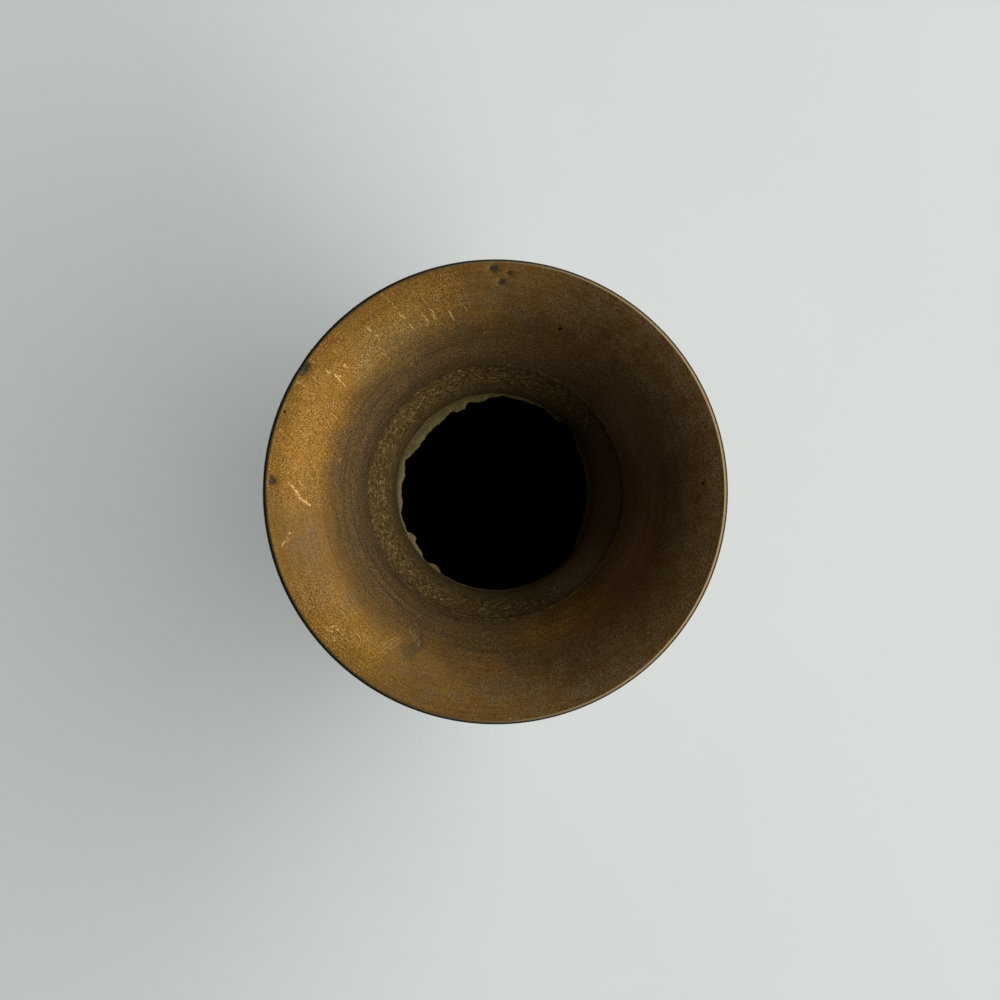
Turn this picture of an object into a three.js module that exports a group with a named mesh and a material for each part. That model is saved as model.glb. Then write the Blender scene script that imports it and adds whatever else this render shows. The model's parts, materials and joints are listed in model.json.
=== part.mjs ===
// A brass vase: trumpet mouth, beaded neck collar, two-part belly and spreading foot.
// It is cast in five sections, turned on a lathe, and soldered together at spigot joints.
// Millimetres, +Z up, origin at the centre of the ring that the foot stands on.
import * as THREE from "three";

// Driving dimensions of the mouth
const mouthRadius = 60; // outside of the lip
const lipThickness = 1.8; // metal of the flare at the lip
const lipWidth = 1; // bevelled top of the lip, from its inner edge to the outside
const lipBevel = 35; // degrees that this top falls outwards
const lipRound = 0.75; // radius of the lip's outer edge
const lipSlope = 14; // degrees that the flare still rises at the lip
const lipEase = 13; // length over which the flare runs out towards the lip
const throatRadius = 34; // inside, at the end of the turned flare
const throatSlope = 68; // degrees that the flare rises at that end
const throatEase = 16; // length over which it keeps that slope
const flareHeight = 21; // mouth casting above its seat on the collar

// Driving dimensions of the neck collar
const collarHeight = 21; // between the seats of its two joints
const boreStep = 0.3; // how far the rough bore stands in from the turned flare
const neckRadius = 27; // inside, at the narrowest place
const collarBeadRadius = 2.4; // half-round bead outside
const collarFillet = 1.2; // plain band above the bead

// Driving dimensions of the belly
const bellyRadius = 52; // outside, at the seam between its two halves
const shoulderHeight = 70; // from that seam up to the collar
const bowlHeight = 68; // from that seam down to the foot
const bellyEase = 30; // length over which each half keeps near to full width
const neckEase = 30; // length over which the shoulder keeps near to the neck
const waistRadius = 26; // outside of the bowl where it stands on the foot
const waistSlope = 68; // degrees that the bowl rises there
const waistEase = 22; // length over which it keeps that slope
const floorThickness = 4;

// Driving dimensions of the foot
const footRadius = 41;
const footHeight = 31;
const footBand = 5; // upright edge at the floor
const footRim = 5; // width of the ring that the vase stands on
const footStep = 1.4; // ledge between the upright edge and the flare
const footBeadRadius = 2.6; // half-round bead under the bowl
const stemEase = 11; // length over which the foot keeps near to the stem
const footEase = 9; // length over which it runs out to the edge
const webThickness = 4; // top of the foot, which carries the bowl

// Walls, joints and solder
const castWall = 2.8;
const fitClearance = 0.2; // all round a spigot or lug in its socket
const spigotLength = 4;
const solderThickness = 1.2; // seam below a spigot's end
const seamBulge = 0.3; // how far the belly's seam stands in from the wall
const seamGroove = 0.4; // how far the mouth's seam lies back from the flare
const lugRadius = 9; // lug under the bowl, which passes through the foot's web
const lugTail = 1.6; // what shows of the lug below the web
const solderLeg = 2.8; // fillet round the lug's tail
const raggedLeast = 0.2; // least overrun of the throat's solder into the bore
// Runs of that solder: middle and half width in degrees round the bore, and reach
const solderRuns = [
  [0, 40, 1.95],
  [52, 7, 1.3],
  [72, 16, 0.8],
  [92, 6, 1],
  [100, 8, 1.7],
  [113, 6, 2.8],
  [137, 25, 2.55],
  [169.5, 5, 1.8],
  [176, 18, 1.35],
  [200, 9, 0.55],
  [208.5, 3.5, 1.95],
  [215, 7, 1.05],
  [231, 4.5, 1.15],
];

// Facets of a full turn, and points on each curve of a profile
const turnFacets = 48;
const raggedFacets = 180;
const curveSteps = 9;
const boreSteps = 5;
const beadSteps = 5;

// Levels of the seats, from the floor up
const waistLevel = footHeight;
const bellyLevel = waistLevel + bowlHeight;
const neckLevel = bellyLevel + shoulderHeight;
const throatLevel = neckLevel + collarHeight;
const lipLevel = throatLevel + flareHeight;

const vec = (radius, level) => new THREE.Vector2(radius, level);
const polar = (length, degrees) => {
  const turn = THREE.MathUtils.degToRad(degrees);
  return vec(length * Math.cos(turn), length * Math.sin(turn));
};

// A cubic curve that leaves its first point and reaches its last along given directions.
const sweep = (start, leaving, end, arriving) =>
  new THREE.CubicBezierCurve(start, start.clone().add(leaving), end.clone().sub(arriving), end);

// The direction of a cubic curve, exact at its ends, where getTangent only comes close.
function heading(curve, t) {
  const legs = [curve.v1.clone().sub(curve.v0), curve.v2.clone().sub(curve.v1), curve.v3.clone().sub(curve.v2)];
  const shares = [(1 - t) ** 2, 2 * t * (1 - t), t ** 2];
  return legs.reduce((sum, leg, i) => sum.addScaledVector(leg, shares[i]), vec(0, 0)).normalize();
}

// Points beside a curve, at a wall that may taper. A positive wall lies to the right of the curve.
function beside(curve, startWall, endWall = startWall, steps = curveSteps) {
  return Array.from({ length: steps + 1 }, (_, i) => {
    const t = i / steps;
    const along = heading(curve, t);
    const wall = THREE.MathUtils.lerp(startWall, endWall, t);
    return curve.getPoint(t).add(vec(along.y, -along.x).multiplyScalar(wall));
  });
}

// The point where a rising row of points crosses a level, or would cross it just past its end.
function atLevel(points, level) {
  const above = points.findIndex((p) => p.y > level);
  const [a, b] = above < 0 ? points.slice(-2) : points.slice(above - 1, above + 1);
  return vec(THREE.MathUtils.mapLinear(level, a.y, b.y, a.x, b.x), level);
}

// The parts of a rising row of points below and above a level, each ended at that level.
const upTo = (points, level) => [...points.filter((p) => p.y < level), atLevel(points, level)];
const downTo = (points, level) => [atLevel(points, level), ...points.filter((p) => p.y > level)];

// A half-round bead outside a wall, from below to above.
function bead(wallRadius, level, beadRadius) {
  const arc = new THREE.EllipseCurve(wallRadius, level, beadRadius, beadRadius, -Math.PI / 2, Math.PI / 2);
  return arc.getPoints(beadSteps);
}

// A body of revolution. The profile runs anticlockwise with the radius to the right and Z up.
function revolve(name, profile, material, facets = turnFacets) {
  const startsOnAxis = profile[0].x === 0;
  const points = startsOnAxis ? profile : [...profile, profile[0].clone()];
  const geometry = new THREE.LatheGeometry(points, facets);
  geometry.rotateX(Math.PI / 2);
  const mesh = new THREE.Mesh(geometry, material);
  mesh.name = name;
  return mesh;
}

// A spigot joint. The upper casting's spigot hangs into a rebate of the lower casting, and the rebate's
// floor carries a ring of solder below the spigot's end.
function spigotJoint(seatLevel, seatBore, spigotRadius) {
  const spigotEnd = seatLevel - spigotLength;
  return {
    seatLevel,
    seatBore,
    spigotRadius,
    rebateRadius: spigotRadius + fitClearance,
    spigotEnd,
    rebateFloor: spigotEnd - solderThickness,
  };
}

// The outer end of a spigot's profile, and the rebate that takes it.
const spigotCorners = (joint) => [vec(joint.spigotRadius, joint.spigotEnd), vec(joint.spigotRadius, joint.seatLevel)];
const rebateCorners = (joint) => [
  vec(joint.rebateRadius, joint.seatLevel),
  vec(joint.rebateRadius, joint.rebateFloor),
];

// Curves that two castings share: the flare's inside, and the outsides of the belly's two halves.
const lipInside = vec(mouthRadius - lipWidth, lipLevel);
const bevelTurn = THREE.MathUtils.degToRad(lipBevel);
const bevelRadius = mouthRadius - lipRound * (1 - Math.sin(bevelTurn));
const bevelEnd = vec(bevelRadius, lipLevel - (bevelRadius - lipInside.x) * Math.tan(bevelTurn));
const lipCentre = bevelEnd.clone().sub(polar(lipRound, 90 - lipBevel));
const flareInside = sweep(
  vec(throatRadius, throatLevel - spigotLength),
  polar(throatEase, throatSlope),
  lipInside,
  polar(lipEase, lipSlope),
);
const flareOutside = beside(flareInside, castWall, lipThickness);
const throatOutside = atLevel(flareOutside, throatLevel);

const neckOuterRadius = neckRadius + castWall;
const shoulderOutside = sweep(
  vec(bellyRadius, bellyLevel),
  vec(0, bellyEase),
  vec(neckOuterRadius, neckLevel),
  vec(0, neckEase),
);
const bowlOutside = sweep(
  vec(waistRadius, waistLevel),
  polar(waistEase, waistSlope),
  vec(bellyRadius, bellyLevel),
  vec(0, bellyEase),
);

const bellyBore = bellyRadius - castWall;
const throatJoint = spigotJoint(throatLevel, throatRadius, throatOutside.x - castWall / 2);
const neckJoint = spigotJoint(neckLevel, neckRadius, neckRadius + castWall / 2);
const bellyJoint = spigotJoint(bellyLevel, bellyBore, bellyBore + castWall / 2);

const metal = (color, roughness) => new THREE.MeshStandardMaterial({ color, roughness, metalness: 1 });
const turnedBrass = metal(0xa9813f, 0.42);
const darkBrass = metal(0x8a6a35, 0.5);
const castBrass = metal(0x6f5a30, 0.75);
const solder = metal(0x9c9478, 0.7);

// Trumpet mouth: a turned flare with a bevelled lip, and a spigot below.
function mouthFlare() {
  const lip = new THREE.EllipseCurve(
    lipCentre.x,
    lipCentre.y,
    lipRound,
    lipRound,
    THREE.MathUtils.degToRad(lipSlope - 90),
    THREE.MathUtils.degToRad(90 - lipBevel),
  );
  return revolve("mouth_flare", [
    ...spigotCorners(throatJoint),
    ...downTo(flareOutside, throatLevel).slice(0, -1),
    ...lip.getPoints(beadSteps),
    ...flareInside.getPoints(curveSteps).reverse(),
  ], turnedBrass);
}

// Neck collar: a beaded ring outside, and a rough cast bore that narrows to the neck.
function neckCollar() {
  const boreTop = vec(throatRadius - boreStep, throatJoint.rebateFloor);
  const boreHeight = boreTop.y - neckLevel;
  const bore = sweep(
    vec(neckRadius, neckLevel),
    vec(0, boreHeight / 2),
    boreTop,
    polar(boreHeight / 3, throatSlope),
  );
  const beadLevel = throatLevel - collarFillet - collarBeadRadius;
  const coneTop = beadLevel - collarBeadRadius;
  return revolve("neck_collar", [
    vec(neckRadius, neckJoint.spigotEnd),
    ...spigotCorners(neckJoint),
    ...upTo(beside(bore, castWall, castWall, boreSteps), coneTop),
    ...bead(throatOutside.x, beadLevel, collarBeadRadius),
    throatOutside,
    ...rebateCorners(throatJoint),
    ...bore.getPoints(boreSteps).reverse(),
  ], castBrass);
}

// Upper half of the belly, which sweeps in from the seam to the neck.
function shoulderShell() {
  return revolve("shoulder_shell", [
    vec(bellyBore, bellyJoint.spigotEnd),
    ...spigotCorners(bellyJoint),
    ...shoulderOutside.getPoints(curveSteps),
    ...rebateCorners(neckJoint),
    ...upTo(beside(shoulderOutside, -castWall), neckJoint.rebateFloor).reverse(),
  ], darkBrass);
}

// Lower half of the belly: a cup with a flat floor, and the lug that holds it in the foot.
function bowlShell() {
  const lugEnd = waistLevel - webThickness - lugTail;
  const floorLevel = waistLevel + floorThickness;
  const inside = downTo(beside(bowlOutside, -castWall), floorLevel);
  return revolve("bowl_shell", [
    vec(0, lugEnd),
    vec(lugRadius, lugEnd),
    vec(lugRadius, waistLevel),
    ...bowlOutside.getPoints(curveSteps),
    ...rebateCorners(bellyJoint),
    ...upTo(inside, bellyJoint.rebateFloor).reverse(),
    vec(0, floorLevel),
  ], darkBrass);
}

// Foot: a beaded stem that spreads to an upright edge, hollow below, with a web that takes the lug.
function footPedestal() {
  const beadLevel = waistLevel - footBeadRadius;
  const flare = sweep(
    vec(footRadius - footStep, footBand),
    vec(-footEase, 0),
    vec(waistRadius, beadLevel - footBeadRadius),
    vec(0, stemEase),
  );
  const webUnder = waistLevel - webThickness;
  const rimInside = footRadius - footRim;
  const hollow = beside(flare, -castWall).filter((p) => p.x < rimInside && p.y < webUnder);
  return revolve("foot_pedestal", [
    vec(rimInside, 0),
    vec(footRadius, 0),
    vec(footRadius, footBand),
    ...flare.getPoints(curveSteps),
    ...bead(waistRadius, beadLevel, footBeadRadius),
    vec(lugRadius + fitClearance, waistLevel),
    vec(lugRadius + fitClearance, webUnder),
    vec(waistRadius - castWall, webUnder),
    ...hollow.reverse(),
    vec(rimInside, hollow.at(-1).y),
  ], darkBrass);
}

// A neat ring of solder between a spigot's end and the rebate's floor, proud of the wall or back from it.
function seamSolder(name, joint, proud) {
  const middle = (joint.spigotEnd + joint.rebateFloor) / 2;
  return revolve(name, [
    vec(joint.spigotRadius, joint.rebateFloor),
    vec(joint.spigotRadius, joint.spigotEnd),
    vec(joint.seatBore, joint.spigotEnd),
    vec(joint.seatBore - proud, middle),
    vec(joint.seatBore, joint.rebateFloor),
  ], solder);
}

// How far the throat's solder reaches into the bore: the longest of the runs that cross this place.
function overrun(turn) {
  const degrees = THREE.MathUtils.radToDeg(turn);
  const reaches = solderRuns.map(([middle, halfWidth, reach]) => {
    const apart = THREE.MathUtils.euclideanModulo(degrees - middle + 180, 360) - 180;
    return reach * (1 - (apart / halfWidth) ** 4);
  });
  return Math.max(raggedLeast, ...reaches);
}

// The throat's seam, where the solder ran through and set with a ragged edge inside the bore.
function throatSolder() {
  const { spigotRadius, seatBore, spigotEnd, rebateFloor } = neckJoint;
  const middle = (spigotEnd + rebateFloor) / 2;
  const mesh = revolve("throat_solder", [
    vec(spigotRadius, rebateFloor),
    vec(spigotRadius, spigotEnd),
    vec(seatBore, spigotEnd),
    vec(seatBore - raggedLeast, middle),
    vec(seatBore, rebateFloor),
  ], solder, raggedFacets);
  // Each point on the seam's nose moves in by an overrun that changes round the bore.
  const position = mesh.geometry.attributes.position;
  for (let i = 0; i < position.count; i++) {
    const radius = Math.hypot(position.getX(i), position.getY(i));
    if (radius > seatBore - raggedLeast / 2) continue;
    const turn = Math.atan2(position.getY(i), position.getX(i));
    const inwards = (seatBore - overrun(turn)) / radius;
    position.setXY(i, position.getX(i) * inwards, position.getY(i) * inwards);
  }
  return mesh;
}

// Fillet of solder round the lug's tail, under the foot's web.
function footSolder() {
  const inner = lugRadius + fitClearance;
  const top = waistLevel - webThickness;
  return revolve("foot_solder", [
    vec(inner, top - lugTail),
    vec(inner + solderLeg / 3, top - lugTail / 2),
    vec(inner + solderLeg, top),
    vec(inner, top),
  ], solder);
}

const vase = new THREE.Group();
vase.add(
  mouthFlare(),
  seamSolder("mouth_solder", throatJoint, -seamGroove),
  neckCollar(),
  throatSolder(),
  shoulderShell(),
  seamSolder("belly_solder", bellyJoint, seamBulge),
  bowlShell(),
  footPedestal(),
  footSolder(),
);

export default vase;
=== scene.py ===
# %% [markdown]
# # A brass vase from above
# The vase is five brass castings, each turned on a lathe and soldered to the next. Seen from straight above
# it shows a trumpet mouth, the rough neck below it and a ragged seam of solder round a dark hole. The
# solids give the true sizes. This lesson makes each piece again as a fine mesh, with the finish that the
# eye expects.

# %% Load the solids
import json
import math
from types import SimpleNamespace

import bmesh
import bpy
import numpy as np
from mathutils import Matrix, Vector, noise

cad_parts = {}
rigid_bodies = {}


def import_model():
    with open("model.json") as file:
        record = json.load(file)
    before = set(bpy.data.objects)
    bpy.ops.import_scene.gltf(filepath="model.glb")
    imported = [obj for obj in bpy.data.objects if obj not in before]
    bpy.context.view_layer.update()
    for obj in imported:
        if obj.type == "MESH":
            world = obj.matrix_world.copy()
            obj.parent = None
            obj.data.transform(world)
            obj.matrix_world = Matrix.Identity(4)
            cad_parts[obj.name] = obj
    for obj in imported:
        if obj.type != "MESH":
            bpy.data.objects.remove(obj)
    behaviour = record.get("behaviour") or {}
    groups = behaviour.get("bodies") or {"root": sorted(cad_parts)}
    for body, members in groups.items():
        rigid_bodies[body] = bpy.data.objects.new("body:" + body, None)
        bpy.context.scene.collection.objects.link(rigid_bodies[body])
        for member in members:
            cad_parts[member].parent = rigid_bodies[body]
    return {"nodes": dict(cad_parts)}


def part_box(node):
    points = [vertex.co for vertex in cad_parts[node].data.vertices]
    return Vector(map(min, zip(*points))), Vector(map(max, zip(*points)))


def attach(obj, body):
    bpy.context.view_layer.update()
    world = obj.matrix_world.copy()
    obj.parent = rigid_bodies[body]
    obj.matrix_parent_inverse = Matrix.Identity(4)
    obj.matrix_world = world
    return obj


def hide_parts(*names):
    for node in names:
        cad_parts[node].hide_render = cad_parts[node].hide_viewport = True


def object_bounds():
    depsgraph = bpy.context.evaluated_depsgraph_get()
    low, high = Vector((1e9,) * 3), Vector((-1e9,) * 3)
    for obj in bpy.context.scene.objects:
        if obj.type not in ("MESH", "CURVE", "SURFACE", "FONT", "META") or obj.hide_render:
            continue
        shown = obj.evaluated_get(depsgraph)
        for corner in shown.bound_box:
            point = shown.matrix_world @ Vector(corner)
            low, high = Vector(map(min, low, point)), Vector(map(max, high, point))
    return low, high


MM = 0.001

for leftover in list(bpy.data.objects):
    bpy.data.objects.remove(leftover)
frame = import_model()
cad_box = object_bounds()

# %% [markdown]
# ## Reading a half-section
# Every piece is a body of revolution, so one cut through the axis says all there is to know of its form. We
# could type the outline again, but then two sets of sizes would have to agree. Instead we walk along the
# solid's own edges that lie in the XZ plane, and get its outline as radius and height.

# %% Half-section of a solid
SAME_PLACE = 1e-6  # points less than a micrometre apart count as one


def half_section(node):
    """Outline of a solid in the XZ plane, as rows of (radius, height), anticlockwise."""
    solid = bmesh.new()
    solid.from_mesh(frame["nodes"][node].data)
    bmesh.ops.remove_doubles(solid, verts=solid.verts, dist=SAME_PLACE)
    neighbours = {}
    for edge in solid.edges:
        if all(abs(v.co.y) < SAME_PLACE and v.co.x > -SAME_PLACE for v in edge.verts):
            first, second = edge.verts
            neighbours.setdefault(first, []).append(second)
            neighbours.setdefault(second, []).append(first)
    on_axis = [v for v, beside in neighbours.items() if len(beside) == 1]
    walk = [on_axis[0] if on_axis else next(iter(neighbours))]
    walk.append(neighbours[walk[0]][0])
    while len(walk) < len(neighbours):
        walk.append(next(v for v in neighbours[walk[-1]] if v is not walk[-2]))
    outline = np.array([(v.co.x, v.co.z) for v in walk])
    solid.free()
    radius, height = outline.T
    twice_area = np.sum(radius * np.roll(height, -1) - np.roll(radius, -1) * height)
    return outline if twice_area > 0 else outline[::-1]


print("mouth outline:", len(half_section("mouth_flare")), "points")

# %% [markdown]
# ## Making the outline fine
# The solid has few points on each curve, enough for its size and joints. The eye wants more. A subdivision
# modifier would add them but pull the outline inwards. A smooth curve through the points of each stretch
# keeps the size, and each true corner gets a small round, because no edge that has been cast, turned and
# polished is perfectly sharp. A corner is where the outline turns by more than SHARP_TURN.

# %% Smooth stretches and eased corners
SHARP_TURN = math.radians(40)


def along_outline(rows):
    """Distance of each point from the outline's start."""
    return np.concatenate([[0], np.cumsum(np.linalg.norm(np.diff(rows, axis=0), axis=1))])


def smooth_stretch(points, spacing, ease):
    """Points about one spacing apart on a smooth curve through a stretch, ended just short of its corners."""
    reach = along_outline(points)
    cut = min(ease, 0.25 * reach[-1])
    count = max(2, round((reach[-1] - 4 * cut) / spacing) + 1)
    where = np.concatenate([[cut], np.linspace(2 * cut, reach[-1] - 2 * cut, count), [reach[-1] - cut]])
    slopes = np.gradient(points, reach, axis=0, edge_order=min(2, len(points) - 1))
    at = np.clip(np.searchsorted(reach, where) - 1, 0, len(points) - 2)
    gap = (reach[at + 1] - reach[at])[:, None]
    t = (where - reach[at])[:, None] / gap
    return (
        (1 + 2 * t) * (1 - t) ** 2 * points[at]
        + t * (1 - t) ** 2 * gap * slopes[at]
        + t**2 * (3 - 2 * t) * points[at + 1]
        - t**2 * (1 - t) * gap * slopes[at + 1]
    )


def eased(before, corner, after):
    """Three points that round off a corner."""
    return [(1 - t) ** 2 * before + 2 * t * (1 - t) * corner + t**2 * after for t in (0.25, 0.5, 0.75)]


square = np.array([(1.0, 0.0), (0.0, 0.0), (0.0, 1.0)])
print("a square corner at 0, 0 is eased to", np.round(eased(*square)[1], 2))


# %% Fine outline
def fine_outline(node, spacing, ease):
    """A solid's outline with smooth curves and eased corners, and whether it is a closed loop."""
    outline = half_section(node)
    closed = bool(outline[0][0] > SAME_PLACE)
    ahead = np.roll(outline, -1, axis=0) - outline
    heading = np.arctan2(ahead[:, 1], ahead[:, 0])
    turn = np.abs((heading - np.roll(heading, 1) + math.pi) % (2 * math.pi) - math.pi)
    corners = [i for i in range(len(outline)) if turn[i] > SHARP_TURN]
    if closed:
        outline = np.roll(outline, -corners[0], axis=0)
        corners = [i - corners[0] for i in corners] + [len(outline)]
        outline = np.vstack([outline, outline[:1]])
    else:
        corners = sorted({0, *corners, len(outline) - 1})
    pairs = zip(corners, corners[1:])
    stretches = [smooth_stretch(outline[a : b + 1], spacing, ease) for a, b in pairs]
    fine = []
    for i, stretch in enumerate(stretches):
        fine.append(stretch)
        if closed or i + 1 < len(stretches):
            following = stretches[(i + 1) % len(stretches)]
            fine.append(eased(stretch[-1], outline[corners[i + 1]], following[0]))
    if not closed:
        fine = [outline[:1], *fine, outline[-1:]]
    return np.vstack(fine), closed


MOUTH_SPACING, MOUTH_EASE = 0.35 * MM, 0.1 * MM
mouth_rows, mouth_closed = fine_outline("mouth_flare", MOUTH_SPACING, MOUTH_EASE)
print("fine mouth outline:", len(mouth_rows), "points")

# %% [markdown]
# ## Which way the metal faces
# An outline also tells where hands and cloths rub and where dirt stays. Where it turns round the metal
# within a millimetre or so it is an edge, and where it turns the other way it is a hollow. Blender can
# guess this at render time, but an exported model would lose it. So both are kept on the mesh as
# attributes, and a finish can brighten the edges and darken the hollows.

# %% Normals and bends of an outline
BEND_REACH = 1.1 * MM


def facing(rows, closed):
    """Unit normals of an outline, pointing out of the metal."""
    if closed:
        ahead = np.roll(rows, -1, axis=0) - np.roll(rows, 1, axis=0)
    else:
        ahead = np.gradient(rows, axis=0)
    ahead = ahead / np.linalg.norm(ahead, axis=1, keepdims=True)
    return np.stack([ahead[:, 1], -ahead[:, 0]], axis=1)


def bends(rows, closed):
    """How far an outline turns near each point, in quarter turns: above 0 on an edge, below in a hollow."""
    normals = facing(rows, closed)
    angle = np.unwrap(np.arctan2(normals[:, 1], normals[:, 0]))
    along = here = along_outline(rows)
    if closed:
        whole = along[-1] + np.linalg.norm(rows[0] - rows[-1])
        angle = np.concatenate([angle - 2 * math.pi, angle, angle + 2 * math.pi])
        here = np.concatenate([along - whole, along, along + whole])
    after, before = (np.interp(along + step, here, angle) for step in (BEND_REACH, -BEND_REACH))
    return (after - before) / (math.pi / 2)


print("sharpest edge of the mouth:", bends(mouth_rows, mouth_closed).max().round(2), "quarter turns")

# %% [markdown]
# ## Sweeping the outline round
# Blender's spin tool would do for a perfect ring. This vase is not perfect: the neck is rough and the
# solder is ragged, so we lay out a grid of points ourselves, one line of the grid for each step round the
# axis. The grid also unrolls neatly: cut into a few strips it fills a square map, which keeps the pattern
# even when it is baked.

# %% Mesh from a grid
MOST_STRIPS = 12
STRIP_MARGIN = 0.01  # bare share of a strip at each of its long sides


def unroll(mesh, radius, height, column, row):
    """Lays the grid's faces out in strips, so that a square map shows them at nearly their true shape."""
    columns = len(radius)
    mean = np.stack([radius.mean(axis=0), height.mean(axis=0)], axis=1)
    along = along_outline(np.vstack([mean, mean[:1]]))
    length = along[row.max() + 1]
    wanted = math.sqrt(2 * math.pi * mean[:, 0].mean() / length)
    whole = (n for n in range(1, MOST_STRIPS + 1) if columns % n == 0)
    strips = min(whole, key=lambda n: abs(n - wanted))
    strip = column * strips // columns
    left = column * strips / columns - strip
    right = left + strips / columns
    share = 1 - 2 * STRIP_MARGIN
    low, high = ((strip + STRIP_MARGIN + share * along[row + step] / length) / strips for step in (0, 1))
    map_corners = np.stack([left, low, right, low, right, high, left, high], axis=-1)
    mesh.uv_layers.new(name="OFBake").data.foreach_set("uv", map_corners.ravel())


def sweep(name, radius, height, closed):
    """Mesh of a turned piece from grids of radius and height, with a line of the grid for each step round."""
    columns, rows = radius.shape
    turn = np.linspace(0, 2 * math.pi, columns, endpoint=False)[:, None]
    places = np.stack([radius * np.cos(turn), radius * np.sin(turn), height], axis=-1)
    column, row = np.meshgrid(np.arange(columns), np.arange(rows - 1 + closed), indexing="ij")
    next_column, next_row = (column + 1) % columns, (row + 1) % rows
    corners = [(column, row), (next_column, row), (next_column, next_row), (column, next_row)]
    faces = np.stack([i * rows + j for i, j in corners], axis=-1)
    mesh = bpy.data.meshes.new(name)
    mesh.from_pydata(places.reshape(-1, 3).tolist(), [], faces.reshape(-1, 4).tolist())
    mesh.shade_smooth()
    unroll(mesh, radius, height, column, row)
    return mesh


print("a piece's map has up to", MOST_STRIPS, "strips, each with margins of", STRIP_MARGIN)


# %% A turned piece in place of its solid
def dress(node, mesh, finishes):
    """Puts a new mesh in the scene in place of a solid, with its finishes in the mesh's slots."""
    for finish in finishes:
        mesh.materials.append(finish)
    piece = bpy.data.objects.new(node + "_metal", mesh)
    bpy.context.scene.collection.objects.link(piece)
    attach(piece, "root")
    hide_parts(node)
    print(piece.name, "has", len(mesh.polygons), "faces")


FACES_IN = -0.05  # normals that point to the axis more than this belong to the inside


def faces_axis(rows, normals):
    """True where a piece faces its own axis."""
    return normals[:, 0] < FACES_IN


def turned_piece(node, finishes, spacing, columns, relief=None, inner=faces_axis, ease=0.35 * MM):
    """A solid made again as a fine mesh. inner picks the rows that get the second finish and the relief."""
    rows, closed = fine_outline(node, spacing, ease)
    normals = facing(rows, closed)
    inside = inner(rows, normals)
    radius, height = (np.tile(values, (columns, 1)) for values in rows.T)
    if relief:
        turn = np.linspace(0, 2 * math.pi, columns, endpoint=False)[:, None]
        proud = relief(turn, radius, height) * inside
        radius, height = radius + proud * normals[:, 0], height + proud * normals[:, 1]
    mesh = sweep(node, radius, height, closed)
    bend = np.tile(bends(rows, closed), columns)
    for name, values in (("edge", bend), ("hollow", -bend)):
        mesh.attributes.new(name, "FLOAT", "POINT").data.foreach_set("value", np.clip(values, 0, 1))
    faces_round = len(mesh.polygons) // columns
    finish_of_face = np.tile(inside[:faces_round].astype(np.int32), columns)
    mesh.polygons.foreach_set("material_index", finish_of_face)
    if not closed:
        whole = bmesh.new()
        whole.from_mesh(mesh)
        bmesh.ops.remove_doubles(whole, verts=whole.verts, dist=0.1 * SAME_PLACE)
        whole.to_mesh(mesh)
        whole.free()
    dress(node, mesh, finishes)


mouth_inside = faces_axis(mouth_rows, facing(mouth_rows, mouth_closed))
print("the mouth faces its axis on", mouth_inside.sum(), "rows of", len(mouth_rows))

# %% [markdown]
# ## Unevenness
# Cast and soldered metal is rough in all sizes at once. A displace modifier could move the points by a
# picture. A fractal noise needs no picture, and its grains can be given a true size round the piece and up
# it.

# %% Roughness of a turned surface
FRACTAL_DIMENSION = 0.7
FRACTAL_STEP = 2.1  # how much finer each octave is than the one before


def rough(turn, height, round_size, height_size, octaves):
    """A fractal noise on a turned surface, about -1 to 1, with sizes in radians round it and metres up it."""
    places = (np.cos(turn) / round_size, np.sin(turn) / round_size, height / height_size)
    points = np.stack(np.broadcast_arrays(*places), axis=-1)
    flat = points.reshape(-1, 3).tolist()
    values = [noise.fractal(point, FRACTAL_DIMENSION, FRACTAL_STEP, octaves) for point in flat]
    return np.array(values).reshape(points.shape[:-1])


print("roughness at three heights:", rough(0, np.arange(3) * MM, 0.03, 0.55 * MM, 4).round(2))

# %% [markdown]
# ## Colour and nodes
# Colours are written as they look on a screen, in sRGB hex, and turned to the linear light that shaders
# work in. Materials could be wired by hand in the shader editor. A script can be read and run again, so one
# helper adds a node, sets it up and links it, and a material reads from its coordinates to its shader.


# %% Colours and nodes
def linear(colour):
    """An sRGB hex colour as linear RGBA."""
    channels = [int(colour[i : i + 2], 16) / 255 for i in (1, 3, 5)]
    return [c / 12.92 if c <= 0.04045 else ((c + 0.055) / 1.055) ** 2.4 for c in channels] + [1]


def add(tree, kind, sockets=None, **settings):
    """Adds a node; its kind is Blender's name without ShaderNode in front. sockets maps an input's name or
    number to a value, or to the node or socket that feeds it."""
    node = tree.nodes.new(kind if kind.startswith("NodeGroup") else "ShaderNode" + kind)
    for name, value in settings.items():
        setattr(node, name, value)
    for key, value in (sockets or {}).items():
        shown = [s for s in node.inputs if s.enabled]
        target = shown[key] if isinstance(key, int) else next(s for s in shown if s.name == key)
        if isinstance(value, bpy.types.Node):
            value = next(s for s in value.outputs if s.enabled)
        if isinstance(value, bpy.types.NodeSocket):
            tree.links.new(value, target)
        else:
            target.default_value = value
    return node


def new_finish(name):
    """An empty material and its node tree."""
    finish = bpy.data.materials.new(name)
    finish.use_nodes = True
    finish.node_tree.nodes.clear()
    return finish, finish.node_tree


def layered(tree, metal, films):
    """A metal's colour with films over it, each a share from 0 to 1 and an sRGB hex colour."""
    for share, colour in films:
        metal = add(tree, "Mix", {"Factor": share, "A": metal, "B": linear(colour)}, data_type="RGBA")
    return metal


print("half grey in linear light:", round(linear("#808080")[0], 3))

# %% [markdown]
# ## Where a point lies on the turned metal
# A lathe leaves its lines round the axis, so a finish needs to know how far a point is from the axis and in
# which direction. An angle would jump where the turn ends. The direction as a unit vector has no jump, so a
# noise that is stretched along it runs seamlessly round the piece.

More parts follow.
